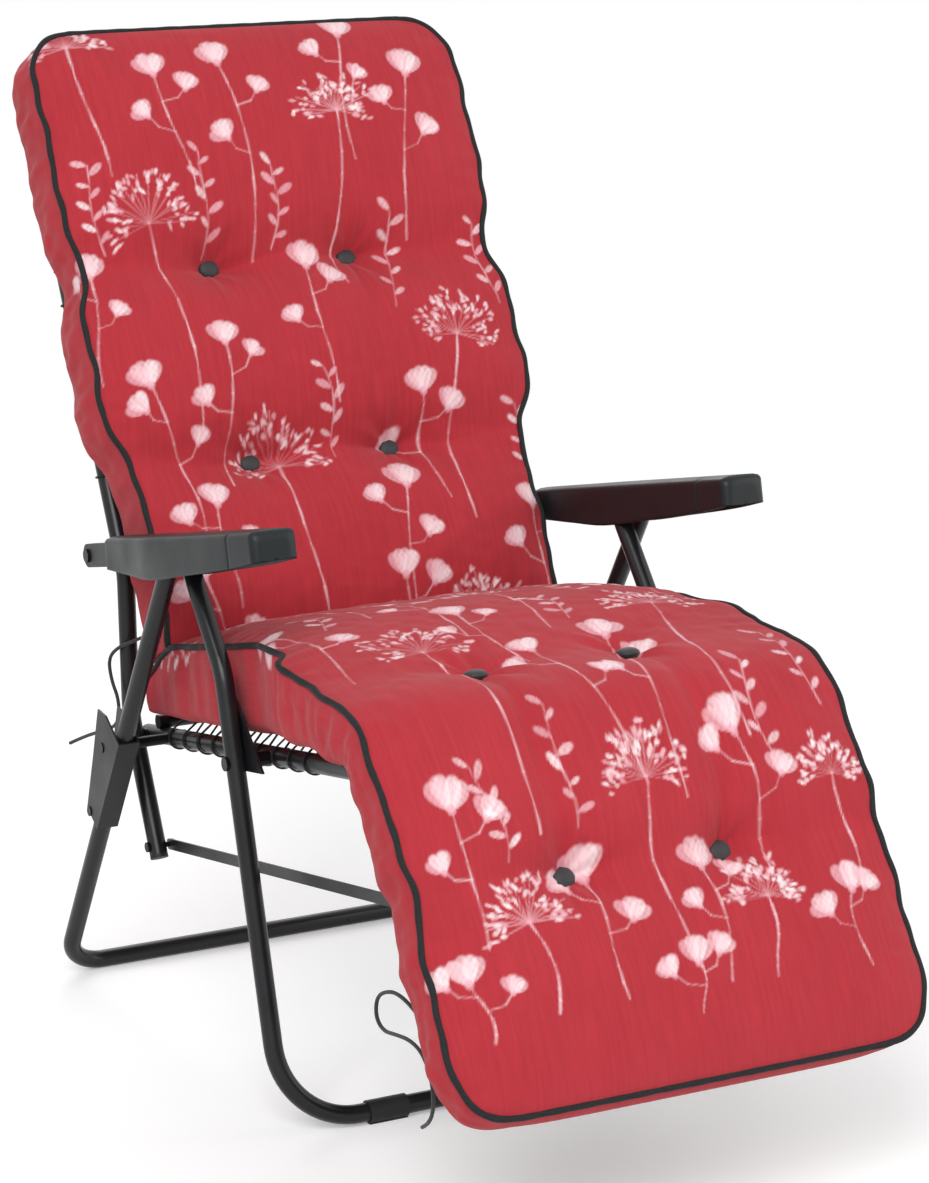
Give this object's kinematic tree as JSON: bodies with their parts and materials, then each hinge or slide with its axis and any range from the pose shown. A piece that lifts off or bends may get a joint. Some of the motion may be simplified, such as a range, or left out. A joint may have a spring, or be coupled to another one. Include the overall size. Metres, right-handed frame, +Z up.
{
  "type": "reclining garden chair",
  "caption": "Folding garden recliner with a black tube frame, plastic armrests, laced slings, a linked leg rest and one tufted red floral cushion",
  "frame": {"origin": "Centre of the bounding box on the floor under the chair, ties left out", "axes": "+Z is up, the sitter faces -Y, and +X is the sitter's left and square to the chair's plane of symmetry"},
  "size_m": [0.5934, 1.157, 1.056],
  "materials": {
    "black_tube": "satin black powder coat on round steel tube",
    "black_sheet": "satin black paint on steel sheet",
    "black_fasteners": "black oxide bolts, pins and rivets",
    "foot_plastic": "fine-grained black plastic sleeves and plugs",
    "armrest_plastic": "moulded black plastic with a blue-green cast and a soft sheen",
    "sling_fabric": "plain-woven black polyester",
    "lacing_cord": "braided black elastic cord",
    "cushion_fabric": "woven red cotton with a printed white and pink botanical pattern and black piping",
    "button_fabric": "black cloth over domed buttons",
    "tie_cord": "flat black woven tie"
  },
  "bodies": {
    "rear_frame": {"rear_leg_frame": "black_tube", "leg_pins": "black_fasteners"},
    "front_frame": {"front_leg_frame": "black_tube", "front_foot_sleeves": "foot_plastic", "leg_gussets": "black_tube", "seat_leg_bolts": "black_fasteners"},
    "slide_brackets": {"slide_bracket_left": "black_sheet", "slide_bracket_right": "black_sheet", "bracket_rivets": "black_fasteners"},
    "seat": {"seat_frame": "black_tube", "seat_rear_bolts": "black_fasteners", "back_pivot_bolts": "black_fasteners", "legrest_hinge_bolts": "black_fasteners", "seat_sling": "sling_fabric", "seat_lacing": "lacing_cord", "cushion_seat": "cushion_fabric", "buttons_seat": "button_fabric"},
    "back": {"back_frame": "black_tube", "back_tube_plugs": "foot_plastic", "draw_bar_rear_pins": "black_fasteners", "arm_pivot_bolts": "black_fasteners", "back_sling": "sling_fabric", "back_lacing": "lacing_cord", "cushion_back": "cushion_fabric", "buttons_back": "button_fabric", "tie_back_right": "tie_cord"},
    "legrest": {"legrest_frame": "black_tube", "legrest_sling": "sling_fabric", "legrest_lacing": "lacing_cord", "draw_bar_front_pins": "black_fasteners", "cushion_leg": "cushion_fabric", "buttons_leg": "button_fabric", "tie_foot_right": "tie_cord"},
    "draw_bars": {"draw_bar_left": "black_sheet", "draw_bar_right": "black_sheet"},
    "armrests": {"armrest_left": "armrest_plastic", "armrest_right": "armrest_plastic", "armrest_rack_left": "armrest_plastic", "armrest_rack_right": "armrest_plastic", "armrest_bar_left": "black_sheet", "armrest_bar_right": "black_sheet"}
  },
  "joints": [
    {"name": "fold", "type": "hinge", "parent": "rear_frame", "child": "front_frame", "pos_m": [0, 0.04584, 0.552], "axis": [1, 0, 0], "range_deg": [0, 36]},
    {"name": "bracket_slide", "type": "slide", "parent": "rear_frame", "child": "slide_brackets", "axis": [0, 0.5235, -0.852], "range_m": [0, 0.1518]},
    {"name": "seat_hinge", "type": "hinge", "parent": "front_frame", "child": "seat", "pos_m": [0, -0.0613, 0.37188], "axis": [1, 0, 0], "range_deg": [-59.9, 0]},
    {"name": "recline", "type": "hinge", "parent": "seat", "child": "back", "pos_m": [0, 0.27284, 0.30613], "axis": [1, 0, 0], "range_deg": [-30, 5], "deforming": ["cushion_back", "cushion_seat"]},
    {"name": "legrest_hinge", "type": "hinge", "parent": "seat", "child": "legrest", "pos_m": [0, -0.32616, 0.424], "axis": [1, 0, 0], "range_deg": [-30, 5], "deforming": ["cushion_leg"]},
    {"name": "draw_bar_hinge", "type": "hinge", "parent": "back", "child": "draw_bars", "pos_m": [0, 0.21593, 0.1954], "axis": [1, 0, 0], "range_deg": [-5, 30]},
    {"name": "armrest_hinge", "type": "hinge", "parent": "back", "child": "armrests", "pos_m": [0, 0.3017, 0.51147], "axis": [1, 0, 0], "range_deg": [-4.8, 27.8]}
  ],
  "couplings": [
    {"joint": "bracket_slide", "follows": "fold", "m_per_rad": 0.24126},
    {"joint": "seat_hinge", "follows": "fold", "ratio": -1.656},
    {"joint": "legrest_hinge", "follows": "recline", "ratio": 1},
    {"joint": "draw_bar_hinge", "follows": "recline", "ratio": -1},
    {"joint": "armrest_hinge", "follows": "recline", "ratio": -0.92}
  ]
}
